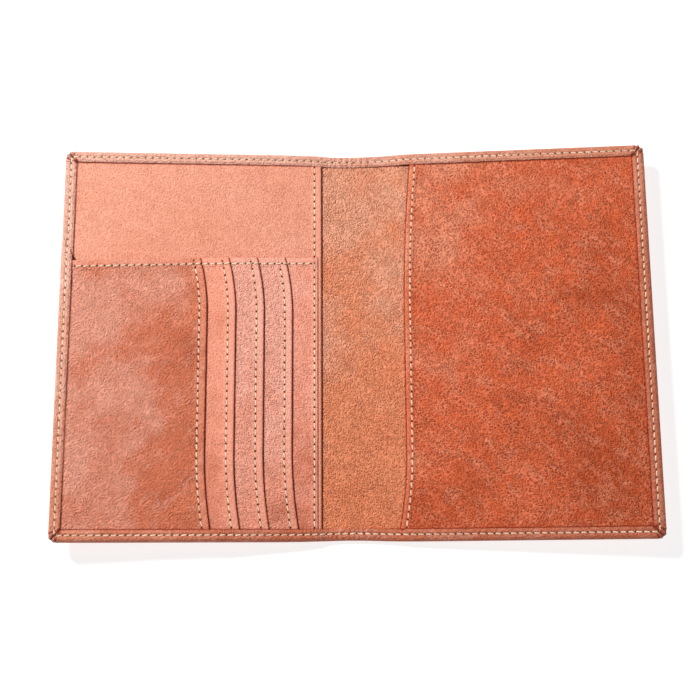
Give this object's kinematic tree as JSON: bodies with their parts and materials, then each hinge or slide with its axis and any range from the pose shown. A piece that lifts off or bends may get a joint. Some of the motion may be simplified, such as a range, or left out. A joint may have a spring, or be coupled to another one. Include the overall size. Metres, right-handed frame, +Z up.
{
  "type": "passport holder wallet",
  "caption": "Open leather travel wallet: hinged covers with a turned, stitched rim, stepped card slots and a slip pocket on one side and a passport pocket on the other.",
  "frame": {"origin": "centre of the spine's underside, which rests on the table", "axes": "+X across the open wallet towards the passport pocket, +Y towards the covers' top edge, +Z up out of the open inside"},
  "size_m": [0.2156, 0.145, 0.0124],
  "materials": {
    "outer_leather": "aniline cowhide, waxed, turned edge",
    "lining_leather": "pebbled tan leather",
    "slip_leather": "pale smooth leather",
    "card_leather": "mottled salmon leather",
    "passport_leather": "terracotta pull-up leather",
    "stiffener_board": "bonded leather board",
    "pocket_fabric": "thin woven lining",
    "thread": "twisted cream thread"
  },
  "bodies": {
    "spine": {"outer_cover_spine": "outer_leather", "stiffener_spine": "stiffener_board", "lining_spine": "lining_leather", "rim_stitching_spine": "thread"},
    "left_cover": {"outer_cover_left": "outer_leather", "stiffener_left": "stiffener_board", "lining_left": "lining_leather", "slip_pocket_panel": "slip_leather", "card_slot_backing": "card_leather", "card_front_panel": "card_leather", "card_strip_2": "card_leather", "card_strip_3": "card_leather", "card_strip_4": "card_leather", "card_pocket_fabric_2": "pocket_fabric", "card_pocket_fabric_3": "pocket_fabric", "card_pocket_fabric_4": "pocket_fabric", "rim_stitching_left": "thread", "slip_edge_stitching": "thread", "card_top_stitching": "thread", "card_edge_stitching_1": "thread", "card_edge_stitching_2": "thread", "card_edge_stitching_3": "thread", "card_edge_stitching_4": "thread"},
    "right_cover": {"outer_cover_right": "outer_leather", "stiffener_right": "stiffener_board", "lining_right": "lining_leather", "passport_pocket_panel": "passport_leather", "rim_stitching_right": "thread", "passport_edge_stitching": "thread"}
  },
  "joints": [
    {"name": "left_crease", "type": "hinge", "parent": "spine", "child": "left_cover", "pos_m": [-0.008, 0, 0.0012], "axis": [0, 1, 0], "range_deg": [-4.4, 85.6]},
    {"name": "right_crease", "type": "hinge", "parent": "spine", "child": "right_cover", "pos_m": [0.008, 0, 0.0012], "axis": [0, -1, 0], "range_deg": [-4.4, 85.6]}
  ]
}
